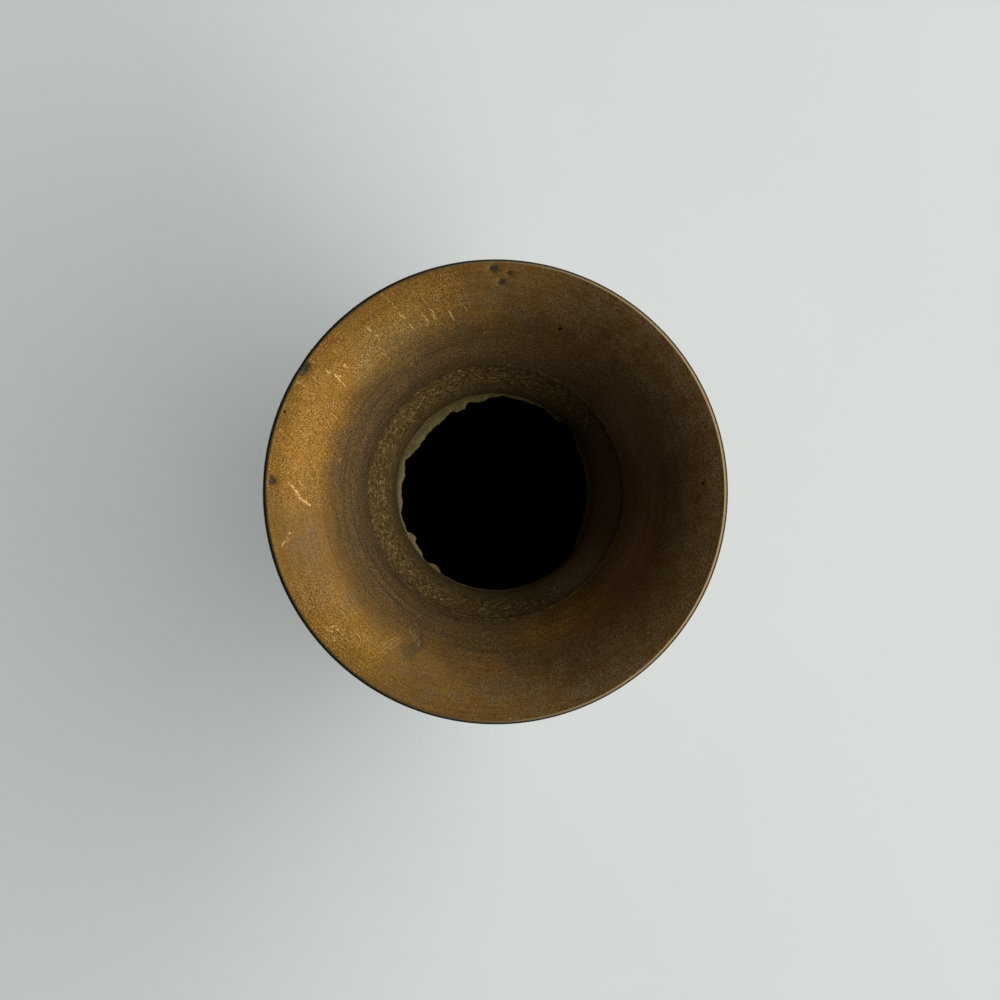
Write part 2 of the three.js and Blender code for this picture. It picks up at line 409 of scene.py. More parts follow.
# %% Places on turned metal
NOISE_SPAN = {"From Min": 0.3, "From Max": 0.7}  # where most of a noise lies


def turned_places(tree):
    """Object coordinates, the same in plan, the distance and direction from the axis, and the height."""
    place = add(tree, "TexCoord").outputs["Object"]
    plan = add(tree, "VectorMath", {0: place, 1: (1, 1, 0)}, operation="MULTIPLY").outputs[0]
    radius = add(tree, "VectorMath", {0: plan}, operation="LENGTH").outputs["Value"]
    direction = add(tree, "VectorMath", {0: plan}, operation="NORMALIZE").outputs[0]
    height = add(tree, "SeparateXYZ", {"Vector": place}).outputs["Z"]
    return SimpleNamespace(place=place, plan=plan, radius=radius, direction=direction, height=height)


def lathe_lines(tree, distance, direction, pitch, share):
    """A noise drawn out round the axis: lines a pitch apart, each lasting about a share of a radian."""
    spread = add(tree, "VectorMath", {0: direction, "Scale": 1 / share}, operation="SCALE")
    across = add(tree, "Math", {0: distance, 1: 1 / pitch}, operation="MULTIPLY")
    lift = add(tree, "CombineXYZ", {"Z": across})
    where = add(tree, "VectorMath", {0: spread, 1: lift}, operation="ADD")
    return add(tree, "TexNoise", {"Vector": where, "Scale": 1, "Detail": 2, "Roughness": 0.6})


def shaken(tree, plan, size, reach):
    """Places in plan, moved about by a noise, so that what is drawn there gets an uneven edge."""
    shake = add(tree, "TexNoise", {"Vector": plan, "Scale": 1 / size, "Detail": 2}).outputs["Color"]
    centred = add(tree, "VectorMath", {0: shake, 1: (0.5, 0.5, 0.5)}, operation="SUBTRACT")
    sockets = {0: centred, 1: (2 * reach, 2 * reach, 0), 2: plan}
    return add(tree, "VectorMath", sockets, operation="MULTIPLY_ADD").outputs[0]


def compass(degrees):
    """A direction in plan as a unit vector, anticlockwise from +X."""
    lean = math.radians(degrees)
    return math.cos(lean), math.sin(lean), 0


print("a line of 0.4 radian is", round(0.4 * cad_box[1].x / MM), "mm long at the lip")

# %% [markdown]
# ## Marks on the flare
# The mouth has a long life on it: dark spots where wet left its salts, dried polish, patches that were
# rubbed to gold, and bright scratches down to clean metal. They could be painted on a picture, but that
# would be blurred close up. So each mark is a short straight stroke in plan, with a middle, a direction, a
# length and a width. A spot is a stroke with almost no length.

# %% Patches, spots, pits and scratches
# Each mark: x and y in millimetres, direction in degrees, length and width in millimetres
# Gold patches on the left of the flare, where the window's highlight falls: partly rubbed wear, partly a
# painted highlight
RUBBED_HIGHLIGHTS = [(-47, 20, 72, 30, 26), (-41, -34, 130, 20, 18), (-26, 43, 35, 28, 20)]
# Coppery marks: a small red stain at the upper left, and three patches on the right that paint the orange
# light the lit left wall throws across
COPPERY = [(-43.2, 37.8, 50, 3, 4.5), (30, -30, 45, 24, 10), (43, -8, 90, 16, 8), (37, -16, 65, 18, 9)]
BROWNED = [(-47, -18, 105, 14, 18)]
SOOT = [(-20.5, -40, 40, 2.5, 7), (-57, 27, 60, 2, 3)]
HAZE = [
    (-27, 37, 40, 12, 16),
    (45, 18, 120, 9, 9),
    (12.2, 50.5, 0, 1, 4),
    (39.3, -33.8, 60, 8, 9),
    (27, -49.5, 20, 8, 6),
]
PALE_SPOTS = [
    (-40.7, 8.4, 20, 0.5, 1.3),
    (-24.2, 38.8, 60, 0.5, 1.0),
    (-22.0, 33.5, 90, 0.3, 1.2),
    (-25.4, 35.6, 20, 0.4, 0.8),
    (-14.9, 43.6, 0, 0.5, 1.0),
    (-45.6, -3.2, 30, 0.4, 0.8),
    (50.3, -26.3, 30, 0.6, 1.2),
    (39.5, -36.4, 20, 0.5, 1.0),
    (-27.1, -39.6, 38, 6.1, 0.7),
    (-26.6, -40.3, 38, 5.0, 0.5),
    (-53.6, -11.6, 70, 1.4, 0.8),
    (-54.0, -12.9, 20, 1.6, 1.2),
    (-27.8, -38.9, 36, 4.4, 0.5),
    (-21.2, -38.0, -57, 4.6, 0.6),
    (-20.6, -37.7, -57, 3.6, 0.5),
]
GREEN_SPOTS = [
    (-0.5, 57.5, 0, 0.5, 2.6),
    (3.8, 56.4, 0, 0.2, 1.8),
    (1.6, 54.3, 20, 0.6, 2.0),
    (-49.2, 31.6, 55, 2.4, 2.7),
    (-57.6, 2.9, 90, 0.8, 2.8),
]
DARK_PITS = [(53.6, 2.3, 0, 0.2, 1.2), (16.8, 42.4, 0, 0.2, 1.2), (-54.3, 20.7, 0, 0.1, 0.9)]
SCRATCHES = [
    (-52.1, 0.9, -52, 3.5, 0.55),
    (-51.2, -0.4, -60, 0.6, 1.3),
    (-49.4, -2.5, -36, 3.1, 0.8),
    (-50.3, 2.3, -54, 1.8, 0.45),
    (-52.9, -10.6, 5, 1.2, 0.6),
    (-54.8, -13.6, 60, 0.8, 0.6),
    (-49.9, 27.7, -30, 3.2, 0.45),
    (-40.3, 28.9, -47, 4.2, 0.5),
    (-43.1, 31.0, -35, 0.9, 0.9),
    (-40.7, 29.9, 15, 0.8, 0.9),
    (-38.7, 32.5, -50, 0.9, 0.8),
    (-24.1, 45.5, -41, 2.0, 0.65),
    (-21.8, 42.9, -45, 1.8, 0.45),
    (-18.2, 45.1, -53, 3.1, 0.6),
    (-16.2, 46.1, -62, 1.9, 1.1),
    (-11.3, 45.7, -58, 2.5, 0.65),
    (-7.7, 47.5, -60, 0.8, 0.5),
    (-27.4, 49.2, -41, 5.2, 0.3),
    (-32.7, 42.0, -45, 2.2, 0.4),
    (-40.6, -35.6, -10, 0.6, 0.6),
    (-43.3, -35.3, -60, 0.5, 0.6),
    (-41.5, -37.9, -70, 0.6, 0.6),
    (-42.3, -34.9, 35, 1.5, 0.5),
    (-41.2, -34.8, -40, 1.2, 0.5),
    (-42.6, -35.9, -15, 1.4, 0.45),
    (21.3, 44.0, -30, 0.3, 0.5),
    (3.9, -58.4, 10, 0.7, 0.5),
]
print("marks on the flare:", sum(map(len, (PALE_SPOTS, GREEN_SPOTS, DARK_PITS, SCRATCHES))))

# %% [markdown]
# ## Drawing a mark
# A node group tells how near a point is to a stroke. It could be copied out for each mark, but a group is
# built once and used for all. A noise that shakes the point beforehand gives each mark its uneven edge.

# %% Strokes in plan
STROKE_CORE = 0.3  # share of the half width that a stroke covers fully


def mark_group():
    """Node group: 1 on a stroke in plan, falling to 0 at its edge."""
    group = bpy.data.node_groups.new("plan_stroke", "ShaderNodeTree")
    for name in ("Place", "Centre", "Half stroke"):
        group.interface.new_socket(name, in_out="INPUT", socket_type="NodeSocketVector")
    group.interface.new_socket("Half width", in_out="INPUT", socket_type="NodeSocketFloat")
    group.interface.new_socket("On stroke", in_out="OUTPUT", socket_type="NodeSocketFloat")
    given = add(group, "NodeGroupInput").outputs
    stroke, width = given["Half stroke"], given["Half width"]
    from_centre = add(group, "VectorMath", {0: given["Place"], 1: given["Centre"]}, operation="SUBTRACT")
    reached = add(group, "VectorMath", {0: from_centre, 1: stroke}, operation="DOT_PRODUCT")
    squared = add(group, "VectorMath", {0: stroke, 1: stroke}, operation="DOT_PRODUCT")
    share = add(group, "Math", {0: reached, 1: squared}, operation="DIVIDE")
    held = add(group, "Clamp", {"Value": share, "Min": -1, "Max": 1})
    nearest = add(group, "VectorMath", {0: stroke, "Scale": held}, operation="SCALE")
    apart = add(group, "VectorMath", {0: from_centre, 1: nearest}, operation="DISTANCE")
    core = add(group, "Math", {0: width, 1: STROKE_CORE}, operation="MULTIPLY")
    sockets = {"Value": apart, "From Min": core, "From Max": width, "To Min": 1, "To Max": 0}
    fade = add(group, "MapRange", sockets, interpolation_type="SMOOTHSTEP")
    add(group, "NodeGroupOutput", {"On stroke": fade})
    return group


plan_stroke = mark_group()


def strokes(tree, place, marks):
    """How much a point lies on any of the marks."""
    total = 0
    for x, y, degrees, length, width in marks:
        sockets = {
            "Place": place,
            "Centre": (x * MM, y * MM, 0),
            "Half stroke": [length * MM / 2 * part for part in compass(degrees)],
            "Half width": width * MM / 2,
        }
        mark = add(tree, "Group", sockets, node_tree=plan_stroke)
        total = add(tree, "Math", {0: total, 1: mark}, operation="MAXIMUM")
    return total


print("a stroke is worked out by", len(plan_stroke.nodes), "nodes")

# %% [markdown]
# ## Turned brass with an old patina
# Brass is copper and zinc. Turned and polished it is pale gold, and with years it turns golden brown,
# because the oxide on it grows in a thin uneven film. The eye gets a soft broad gloss, a sandy grain of
# tiny dents and specks that is strongest where cloths rubbed, darker tones and lathe lines towards the
# throat, and grey dust in clumps on the window's side. Some films are painted light and shade: the gold
# patches and the grain's glints on the lit left side, a highlight and shade at the lip, shade at the bottom
# of the throat, and reflected light on the right of the throat. All this could be one painted picture. We
# lay it on in films instead, most of them as they came on the real metal, and each film can then be changed
# alone.

# %% Turned brass: patterns
CLOUD_SIZE = 12 * MM  # patches where the oxide is thicker
TINT_SIZE = 5 * MM  # red and grey blotches in it
SPECK_SIZE = 0.9 * MM  # small dents from use
GRAIN_SIZE = 0.34 * MM  # polishing grit; real grit is finer, but would not show
LINE_PITCH = 0.55 * MM  # feed of the lathe tool, also drawn coarser than real so that it shows
SCORE_PITCH = 1.1 * MM  # deeper lines where the tool chattered in the throat

turned_brass, tree = new_finish("turned_brass")
at = turned_places(tree)
along = add(tree, "Math", {0: at.radius, 1: at.height}, operation="ADD")
fine_shake = shaken(tree, at.plan, size=0.8 * MM, reach=0.3 * MM)
broad_shake = shaken(tree, at.plan, size=8 * MM, reach=5 * MM)
sockets = {"Vector": at.place, "Scale": 1 / CLOUD_SIZE, "Detail": 6, "Roughness": 0.62}
clouds = add(tree, "TexNoise", sockets)
tint = add(tree, "TexNoise", {"Vector": at.place, "Scale": 1 / TINT_SIZE, "Detail": 4, "Roughness": 0.6})
grain = add(tree, "TexNoise", {"Vector": at.place, "Scale": 1 / GRAIN_SIZE, "Detail": 1, "Roughness": 0.6})
specks = add(tree, "TexNoise", {"Vector": at.place, "Scale": 1 / SPECK_SIZE, "Detail": 2, "Roughness": 0.7})
lines = lathe_lines(tree, along, at.direction, LINE_PITCH, share=0.4)
grooves = lathe_lines(tree, along, at.direction, SCORE_PITCH, share=0.5)
print("patterns of the turned brass:", len(tree.nodes), "nodes")

# %% Turned brass: rubbed, wiped and sheltered places
FLARE_BEND = 46 * MM  # inside this radius the flare bends down
THROAT_RADIUS = 37 * MM  # and here it has become the throat
DUST_RADIUS = 40 * MM  # dust settles from here outwards
UNWIPED_X, WIPED_X = 25 * MM, -30 * MM  # cloths wiped the left of the flare more than the right
UNDARKENED_SIDE = compass(-35)  # the side that is not darkened towards the throat

rubbed = strokes(tree, broad_shake, RUBBED_HIGHLIGHTS)
sockets = {"Value": at.radius, "From Min": FLARE_BEND, "From Max": THROAT_RADIUS}
throat = add(tree, "MapRange", sockets, interpolation_type="SMOOTHSTEP")
settled = add(tree, "MapRange", {"Value": at.radius, "From Min": DUST_RADIUS, "From Max": FLARE_BEND})
east = add(tree, "SeparateXYZ", {"Vector": at.plan}).outputs["X"]
left_side = add(tree, "MapRange", {"Value": east, "From Min": UNWIPED_X, "From Max": WIPED_X})
lit_left_side = add(tree, "MapRange", {"Value": left_side, "From Min": 0.3, "From Max": 0.9, "To Min": 0.25})
side = add(tree, "VectorMath", {0: at.direction, 1: UNDARKENED_SIDE}, operation="DOT_PRODUCT")
sockets = {"Value": side, "From Min": 0.6, "From Max": 0.82, "To Min": 1, "To Max": 0}
darkened_side = add(tree, "MapRange", sockets)
print("the flare bends down over", round((FLARE_BEND - THROAT_RADIUS) / MM), "mm")

# %% Turned brass: films of oxide
HANDLED_FROM, HANDLED_FULL = 50 * MM, 57 * MM  # hands keep the rim less brown

brown = add(tree, "MapRange", {"Value": clouds, "From Min": 0.42, "From Max": 0.68, "To Max": 0.7})
sockets = {"Value": at.radius, "From Min": HANDLED_FROM, "From Max": HANDLED_FULL}
handled = add(tree, "MapRange", sockets | {"To Min": 1, "To Max": 0.4})
brown = add(tree, "Math", {0: brown, 1: handled}, operation="MULTIPLY")
red = add(tree, "MapRange", {"Value": tint, "From Min": 0.55, "From Max": 0.75, "To Max": 0.35})
grey = add(tree, "MapRange", {"Value": tint, "From Min": 0.45, "From Max": 0.25, "To Max": 0.45})
films = [(brown, "#5f482a"), (red, "#66401f"), (grey, "#5b5138")]
patches = [
    (rubbed, 0.65, "#825d1f"),
    (strokes(tree, broad_shake, COPPERY), 0.38, "#7d4922"),
    (strokes(tree, broad_shake, HAZE), 0.2, "#77724f"),
    (strokes(tree, broad_shake, BROWNED), 0.35, "#5c4630"),
]
for patch, strength, colour in patches:
    films.append((add(tree, "Math", {0: patch, 1: strength}, operation="MULTIPLY"), colour))
print("films of oxide:", len(films))

# %% Turned brass: darker tones, grooves and painted shade towards the throat
DARKER_FROM, DARKER_FULL = 46.2 * MM, 40.3 * MM
BOTTOM_FROM, BOTTOM_FULL = 37.5 * MM, 35 * MM  # the last of the throat is the darkest

# The flare gets darker towards the throat, except on the lower right, and soot spots are added
uneven = add(tree, "VectorMath", {0: broad_shake}, operation="LENGTH").outputs["Value"]
sockets = {"Value": uneven, "From Min": DARKER_FROM, "From Max": DARKER_FULL, "To Max": 0.8}
inward = add(tree, "MapRange", sockets)
inward = add(tree, "Math", {0: inward, 1: darkened_side}, operation="MULTIPLY")
inward_and_soot = add(tree, "Math", {0: inward, 1: strokes(tree, broad_shake, SOOT)}, operation="MAXIMUM")
aged = add(tree, "MapRange", {"Value": left_side, "From Max": 0.4, "To Min": 0.36, "To Max": 0})
aged = add(tree, "Math", {0: aged, 1: settled}, operation="MULTIPLY")
scored = add(tree, "MapRange", {"Value": grooves, "From Min": 0.5, "From Max": 0.66, "To Max": 0.6})
for share in (throat, lit_left_side):
    scored = add(tree, "Math", {0: scored, 1: share}, operation="MULTIPLY")
# Painted shade: the bottom of the throat on the lit left side is darkened, where shade falls deep in the
# flare
sockets = {"Value": at.radius, "From Min": BOTTOM_FROM, "From Max": BOTTOM_FULL, "To Max": 0.5}
painted_throat_shade = add(tree, "MapRange", sockets)
painted_throat_shade = add(tree, "Math", {0: painted_throat_shade, 1: lit_left_side}, operation="MULTIPLY")
films += [(inward_and_soot, "#604b2b"), (aged, "#4f3a22"), (scored, "#33270f"), (painted_throat_shade, "#35260b")]
metal = layered(tree, linear("#7d5b24"), films)
print("films with smoke and grooves:", len(films))

# %% Turned brass: grain, specks and lathe lines
# The grain's contrast works as a power, so that bright and dark grains stay in balance
# On the gold patches of the lit left side the grain's contrast is raised: partly wear, partly painted glints
# of the window's light
contrast = add(tree, "MapRange", {"Value": rubbed, "To Min": 1.5, "To Max": 3.4})
contrast = add(tree, "Math", {0: throat, 1: 2.6, 2: contrast}, operation="MULTIPLY_ADD")
sockets = {"Value": tint, "From Min": 0.38, "From Max": 0.62, "To Min": 1.25, "To Max": 0.75}
patchy = add(tree, "MapRange", sockets)
contrast = add(tree, "Math", {0: contrast, 1: patchy}, operation="MULTIPLY")
sandy = add(tree, "Math", {0: grain, 1: 0.5}, operation="SUBTRACT")
sandy = add(tree, "Math", {0: sandy, 1: contrast}, operation="MULTIPLY")
shade = add(tree, "Math", {0: sandy}, operation="EXPONENT")
for pattern, darkest, lightest in ((specks, 0.88, 1.12), (lines, 0.86, 1.13)):
    toned = add(tree, "MapRange", {"Value": pattern, **NOISE_SPAN, "To Min": darkest, "To Max": lightest})
    shade = add(tree, "Math", {0: shade, 1: toned}, operation="MULTIPLY")
sockets = {"Factor": 1, "A": metal, "B": shade}
metal = add(tree, "Mix", sockets, data_type="RGBA", blend_type="MULTIPLY")
print("turned brass with its grain:", len(tree.nodes), "nodes")

# %% Turned brass: dust, and painted reflected light in the throat
BOUNCE_FROM, BOUNCE_FULL = 44 * MM, 38 * MM  # painted reflected light on the right of the throat, laid on in a dust colour

sockets = {"Value": grain, "From Min": 0.4, "From Max": 0.75, "To Min": 0.03, "To Max": 0.26}
dusty = add(tree, "MapRange", sockets)
unwiped = add(tree, "MapRange", {"Value": left_side, "To Min": 1, "To Max": 0.3})
sockets = {"Value": tint, "From Min": 0.38, "From Max": 0.62, "To Min": 1.5, "To Max": 0.5}
clumped = add(tree, "MapRange", sockets)
dust = settled
for share in (dusty, unwiped, clumped):
    dust = add(tree, "Math", {0: dust, 1: share}, operation="MULTIPLY")
# Painted reflected light: a warm pale colour on the shaded right of the throat stands in for the orange light
# that the lit left wall throws across
sockets = {"Value": at.radius, "From Min": BOUNCE_FROM, "From Max": BOUNCE_FULL, "To Max": 0.65}
deep = add(tree, "MapRange", sockets)
eastward = add(tree, "SeparateXYZ", {"Vector": at.direction}).outputs["X"]
deepest = add(tree, "MapRange", {"Value": eastward, "From Min": 0.72, "From Max": 0.97})
painted_bounce_light = add(tree, "Math", {0: deepest, 1: deep}, operation="MULTIPLY")
metal = layered(tree, metal, [(dust, "#918572"), (painted_bounce_light, "#9a7452")])
print("turned brass with dust:", len(tree.nodes), "nodes")

# %% Turned brass: hairlines, spots, pits and scratches
HAIR_LENGTH, HAIR_WIDTH = 4 * MM, 0.3 * MM  # real hairlines are finer, but would not show
HAIR_LEAN = -52


def hairlines(tree, plan, degrees):
    """Fine straight scratches in one direction, a few millimetres long."""
    sockets = {"Vector": plan, "Angle": -math.radians(degrees)}
    turned = add(tree, "VectorRotate", sockets, rotation_type="Z_AXIS")
    stretch = (1 / HAIR_LENGTH, 1 / HAIR_WIDTH, 0)
    fine = add(tree, "VectorMath", {0: turned, 1: stretch}, operation="MULTIPLY")
    hairs = add(tree, "TexNoise", {"Vector": fine, "Scale": 1, "Detail": 2, "Roughness": 0.7})
    return add(tree, "MapRange", {"Value": hairs, "From Min": 0.56, "From Max": 0.68})


worn = add(tree, "MapRange", {"Value": rubbed, "To Min": 0.08, "To Max": 0.6})
worn = add(tree, "Math", {0: worn, 1: specks}, operation="MULTIPLY")
cut = add(tree, "MapRange", {"Value": grain, "From Min": 0.35, "From Max": 0.65, "To Max": 0.85})
sockets = {"Value": specks, "From Min": 0.35, "From Max": 0.65, "To Min": 1, "To Max": 0.6}
crumbs = add(tree, "MapRange", sockets)
drawn = [
    (hairlines(tree, fine_shake, HAIR_LEAN), worn, "#c09a56"),
    (strokes(tree, fine_shake, PALE_SPOTS), cut, "#9f8550"),
    (strokes(tree, fine_shake, SCRATCHES), cut, "#d8b777"),
    (strokes(tree, fine_shake, GREEN_SPOTS), crumbs, "#252d28"),
]
films = []
for mark, broken, colour in drawn:
    films.append((add(tree, "Math", {0: mark, 1: broken}, operation="MULTIPLY"), colour))
films.append((strokes(tree, fine_shake, DARK_PITS), "#120d08"))
metal = layered(tree, metal, films)
print("kinds of marks drawn:", len(films))

# %% Turned brass: painted light and shade on the lip
# Tones of the lip: where each starts and is full, as radii in millimetres, and how strong it gets. They
# paint light and shade: a pale band where the bevel starts, for the light it catches, a shade over the outer
# bevel on the left, away from the window, and a near-black edge all round, partly dark oxide and partly
# painted shade.
PAINTED_LIT_BEVEL = (59.0, 59.1, 0.9)
PAINTED_LEFT_SHADE = (59.26, 59.44, 0.95)
DARK_EDGE = (59.5, 59.62, 0.95)
OUTER_ROUND = (59.84, 59.92, 1)  # from here it is plain brass again

tones = []
for start, full, strength in (PAINTED_LIT_BEVEL, PAINTED_LEFT_SHADE, DARK_EDGE, OUTER_ROUND):
    sockets = {"Value": at.radius, "From Min": start * MM, "From Max": full * MM, "To Max": strength}
    tones.append(add(tree, "MapRange", sockets))
lit_bevel, left_lip_shade, dark, rounded = tones
# Painted shade: this tone darkens only the left of the lip, which faces away from the window
left_lip_shade = add(tree, "Math", {0: left_lip_shade, 1: left_side}, operation="MULTIPLY")
dark = add(tree, "Math", {0: dark, 1: left_lip_shade}, operation="MAXIMUM")
on_bevel = add(tree, "Math", {0: 1, 1: rounded}, operation="SUBTRACT")
for tone, colour in ((lit_bevel, "#8a7858"), (dark, "#0c0602")):
    share = add(tree, "Math", {0: tone, 1: on_bevel}, operation="MULTIPLY")
    metal = layered(tree, metal, [(share, colour)])
print("the lip's tones start", round(cad_box[1].x / MM - PAINTED_LIT_BEVEL[0], 2), "mm inside its edge")

# %% Turned brass: gloss and relief
# Brass under patina: high metallic except under dust and under the painted reflected light in the throat, and
# a roughness that spreads the window's light over the whole lit side. The throat, which no cloth reached, is
# rougher and keeps some wax.
covered = add(tree, "Math", {0: dust, 1: painted_bounce_light}, operation="MAXIMUM")
bare = add(tree, "MapRange", {"Value": covered, "To Min": 0.95, "To Max": 0})
bare = add(tree, "Math", {0: throat, 1: -0.2, 2: bare}, operation="MULTIPLY_ADD")
wax = add(tree, "Math", {0: throat, 1: 0.3}, operation="MULTIPLY")
gloss = add(tree, "MapRange", {"Value": specks, **NOISE_SPAN, "To Min": 0.55, "To Max": 0.66})
gloss = add(tree, "Math", {0: throat, 1: 0.16, 2: gloss}, operation="MULTIPLY_ADD")
relief = add(tree, "Math", {0: grain, 1: lines}, operation="ADD")
bump = add(tree, "Bump", {"Strength": 0.6, "Distance": 0.06 * MM, "Height": relief})
sockets = {"Base Color": metal, "Metallic": bare, "Roughness": gloss, "Normal": bump}
sockets |= {"Coat Weight": wax, "Coat Roughness": 0.5}
add(tree, "OutputMaterial", {"Surface": add(tree, "BsdfPrincipled", sockets)})
print("turned brass has", len(tree.nodes), "nodes")

# %% [markdown]
# ## Rough cast brass
# Below the flare the lathe tool never reached. The bore keeps the skin of the sand that it was cast in:
# grains and little ridges, brown-black in the pits and rubbed bright on the tops. Pale glints on the tops
# are painted for the sparkle of light, most on the left wall, which faces the window, and this gives the
# eye a glittering dark band. Lower down it is smoother and olive. Where the solder ran up the wall on one
# side it leaves a pale smear, and a tin colour lightens the foot of the bore; both are partly painted light
# over the shade where the wall meets the solder. Reflected light is painted in a pale dust colour on the
# right wall, which faces away from the window, and a painted shade just under the seam deepens the joint.
# A scanned picture of sand would repeat round the bore. Two noises, one of them drawn out round the axis,
# never do.

# %% Cast brass: skin of the sand
SAND_GRAIN = 0.3 * MM  # about one grain of moulding sand
RIDGE_PITCH = 0.42 * MM
BLOTCH_SIZE = 4 * MM
BAND_FROM, BAND_FULL = 11 * MM, 17 * MM  # above the collar's foot, between these it gets coarse
BAND_WAVER = 6 * MM  # how far the blotches move those heights
BORE_LIT_SIDE = compass(158)  # the left wall, which faces the window: tops and glints are brighter here, partly wear and partly painted light

cast_brass, tree = new_finish("cast_brass")
at = turned_places(tree)
collar_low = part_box("neck_collar")[0].z
sand = add(tree, "TexNoise", {"Vector": at.place, "Scale": 1 / SAND_GRAIN, "Detail": 2, "Roughness": 0.8})
ridges = lathe_lines(tree, at.height, at.direction, RIDGE_PITCH, share=0.035)
skin = add(tree, "Math", {0: sand, 1: ridges}, operation="ADD")
side = add(tree, "VectorMath", {0: at.direction, 1: BORE_LIT_SIDE}, operation="DOT_PRODUCT")
lit_left_side = add(tree, "MapRange", {"Value": side, "From Min": -0.2, "From Max": 0.9, "To Min": 0.6})
tops = add(tree, "MapRange", {"Value": skin, "From Min": 0.85, "From Max": 1.25})
tops = add(tree, "Math", {0: tops, 1: lit_left_side}, operation="MULTIPLY")
clouds = add(tree, "TexNoise", {"Vector": at.place, "Scale": 1 / BLOTCH_SIZE, "Detail": 4, "Roughness": 0.6})
uneven = add(tree, "Math", {0: clouds, 1: BAND_WAVER, 2: at.height}, operation="MULTIPLY_ADD")
sockets = {"Value": uneven, "From Min": collar_low + BAND_FROM, "From Max": collar_low + BAND_FULL}
in_band = add(tree, "MapRange", sockets | {"To Min": 0.25})
smooth = layered(tree, linear("#41351c"), [(clouds, "#5e4e2d")])
coarse = layered(tree, linear("#37290b"), [(tops, "#84662b")])
metal = add(tree, "Mix", {"Factor": in_band, "A": smooth, "B": coarse}, data_type="RGBA")
# Painted glints: pale specks on the tops of the grains stand in for the sparkle of light on the cast skin,
# strongest on the lit left wall
glints = add(tree, "MapRange", {"Value": skin, "From Min": 1.1, "From Max": 1.28, "To Max": 0.6})
for share in (lit_left_side, in_band):
    glints = add(tree, "Math", {0: glints, 1: share}, operation="MULTIPLY")
print("skin of the cast brass:", len(tree.nodes), "nodes")

# %% Cast brass: tin, smear, dust, and painted light and shade
LIGHTENED_RISE = 5 * MM  # how far up the foot of the bore is lightened all round with a tin colour
SMEAR_SIDE = compass(130)  # where it ran up the wall
SMEAR_WAVER = 8 * MM  # how unevenly it ran up
BORE_SHADED_SIDE = compass(-15)  # the right wall, which faces away from the window; reflected light is painted there in a pale dust colour

seam_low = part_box("mouth_solder")[0].z
# Partly real tin, partly painted light: a tin colour lightens the foot of the bore all round, and the smear
# is strongest just above the solder on the left, to lift the shade where the wall meets the solder
sockets = {"Value": at.height, "From Min": collar_low + LIGHTENED_RISE, "From Max": collar_low, "To Max": 0.5}
tin_and_painted_light = add(tree, "MapRange", sockets)
side = add(tree, "VectorMath", {0: at.direction, 1: SMEAR_SIDE}, operation="DOT_PRODUCT")
on_side = add(tree, "MapRange", {"Value": side, "From Min": 0.55, "From Max": 0.9})
reach = add(tree, "Math", {0: clouds, 1: SMEAR_WAVER, 2: collar_low - 0.5 * MM}, operation="MULTIPLY_ADD")
above = add(tree, "Math", {0: at.height, 1: reach}, operation="SUBTRACT")
near = add(tree, "MapRange", {"Value": above, "From Min": 2 * MM, "From Max": -1.5 * MM, "To Max": 0.9})
smear_and_painted_light = add(tree, "Math", {0: near, 1: on_side}, operation="MULTIPLY")
# Painted reflected light: a pale dust colour on the shaded right wall of the bore stands in for the light
# thrown across from the lit left wall, with less of it just under the seam
side = add(tree, "VectorMath", {0: at.direction, 1: BORE_SHADED_SIDE}, operation="DOT_PRODUCT")
dust = add(tree, "MapRange", {"Value": side, "From Min": 0.6, "From Max": 0.97, "To Max": 0.52})
under_seam = {"From Min": seam_low - 1.2 * MM, "From Max": seam_low - 0.2 * MM, "To Min": 1, "To Max": 0.45}
sheltered = add(tree, "MapRange", {"Value": at.height, **under_seam})
dust = add(tree, "Math", {0: dust, 1: sheltered}, operation="MULTIPLY")
# Painted shade and grime: a dark band just under the seam, strongest on the left, dulls the collar's top edge
# where it would catch the light and deepens the joint's dark line
sockets = {"Value": at.height, "From Min": seam_low - 0.5 * MM, "From Max": seam_low, "To Max": 0.5}
seam_shade_and_grime = add(tree, "MapRange", sockets)
eastward = add(tree, "SeparateXYZ", {"Vector": at.direction}).outputs["X"]
seam_dark_side = add(tree, "MapRange", {"Value": eastward, "From Min": 0.5, "From Max": -0.2, "To Min": 0.2})
seam_shade_and_grime = add(tree, "Math", {0: seam_shade_and_grime, 1: seam_dark_side}, operation="MULTIPLY")
films = [(glints, "#d2bb8a"), (tin_and_painted_light, "#74633a"), (smear_and_painted_light, "#a38e54"), (dust, "#a1896c"), (seam_shade_and_grime, "#2c1f0a")]
metal = layered(tree, metal, films)
print("films on the cast brass:", len(films))

# %% Cast brass: gloss and relief
# A half metallic, matt skin with duller pits, as cast brass has under its oxide
bump = add(tree, "Bump", {"Strength": 0.7, "Distance": 0.15 * MM, "Height": skin})
gloss = add(tree, "MapRange", {"Value": tops, "To Min": 0.75, "To Max": 0.5})
sockets = {"Base Color": metal, "Metallic": 0.6, "Roughness": gloss, "Normal": bump}
add(tree, "OutputMaterial", {"Surface": add(tree, "BsdfPrincipled", sockets)})
print("cast brass has", len(tree.nodes), "nodes")

# %% [markdown]
# ## Brass outside, dark brass inside
# Outside, the vase has been handled and wiped. Edges and beads are rubbed to gold and dirt stays in the
# hollows beside them. Fine lines run round it from the last pass of the lathe, and the eye sees a warm
# satin sheen. Inside, nobody ever polished: the metal is dark with tarnish and old water marks, and matt,
# and its near-black colour is also a painted shade for the dark inside of the body. Edges could be painted
# by hand. The attributes on the meshes already say where they are.

# %% Satin brass
STAIN_SIZE = 18 * MM
# Grit and tool feed, both drawn coarser than real so that they show
SATIN_GRAIN = 0.45 * MM
SATIN_PITCH = 0.7 * MM

